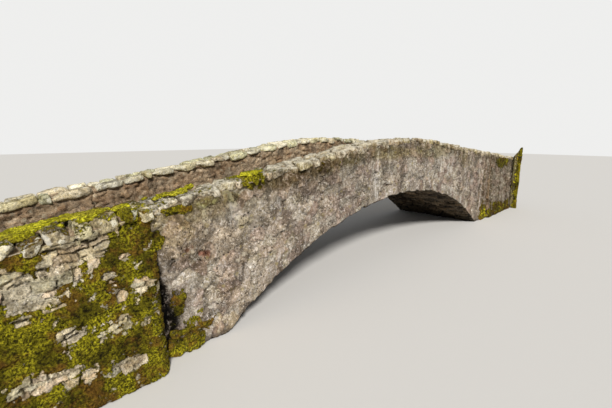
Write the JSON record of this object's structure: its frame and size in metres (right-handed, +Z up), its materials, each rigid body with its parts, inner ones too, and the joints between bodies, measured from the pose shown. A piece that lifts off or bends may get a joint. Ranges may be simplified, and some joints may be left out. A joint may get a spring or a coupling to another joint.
{
  "type": "packhorse bridge",
  "caption": "Low humped stone footbridge with a single segmental arch, continuous rubble parapets, rough copings and battered wing walls.",
  "frame": {"origin": "mid-span on the bridge's centreline, at springing level, where the walls stand", "axes": "+X along the road towards the end with the upright flagstone, +Y across the road away from the near parapet, +Z up"},
  "size_m": [15.84, 3.24, 2.614],
  "materials": {
    "arch_stone": "rough",
    "harled_rubble": "rough",
    "coping_stone": "rough",
    "rubble": "rough",
    "mossy_stone": "rough",
    "fill": "rough",
    "path_stone": "rough"
  },
  "bodies": {
    "root": {"near_arch_ring": "arch_stone", "near_left_spandrel": "harled_rubble", "near_left_parapet": "harled_rubble", "near_left_coping": "coping_stone", "near_left_wing_wall": "rubble", "near_left_wing_parapet": "rubble", "near_left_wing_coping": "coping_stone", "near_left_plinth": "mossy_stone", "near_right_spandrel": "harled_rubble", "near_right_parapet": "harled_rubble", "near_right_coping": "coping_stone", "near_right_wing_wall": "rubble", "near_right_wing_parapet": "rubble", "near_right_wing_coping": "coping_stone", "near_right_plinth": "mossy_stone", "far_arch_ring": "arch_stone", "far_left_spandrel": "harled_rubble", "far_left_parapet": "harled_rubble", "far_left_coping": "coping_stone", "far_left_wing_wall": "rubble", "far_left_wing_parapet": "rubble", "far_left_wing_coping": "coping_stone", "far_left_plinth": "mossy_stone", "far_right_spandrel": "harled_rubble", "far_right_parapet": "harled_rubble", "far_right_coping": "coping_stone", "far_right_wing_wall": "rubble", "far_right_wing_parapet": "rubble", "far_right_wing_coping": "coping_stone", "far_right_plinth": "mossy_stone", "arch_barrel": "arch_stone", "left_abutment": "rubble", "left_haunch_fill": "fill", "left_approach_fill": "fill", "path_left_ramp": "path_stone", "right_abutment": "rubble", "right_haunch_fill": "fill", "right_approach_fill": "fill", "path_right_ramp": "path_stone", "path_crown": "path_stone", "end_flagstone": "mossy_stone"}
  },
  "joints": []
}
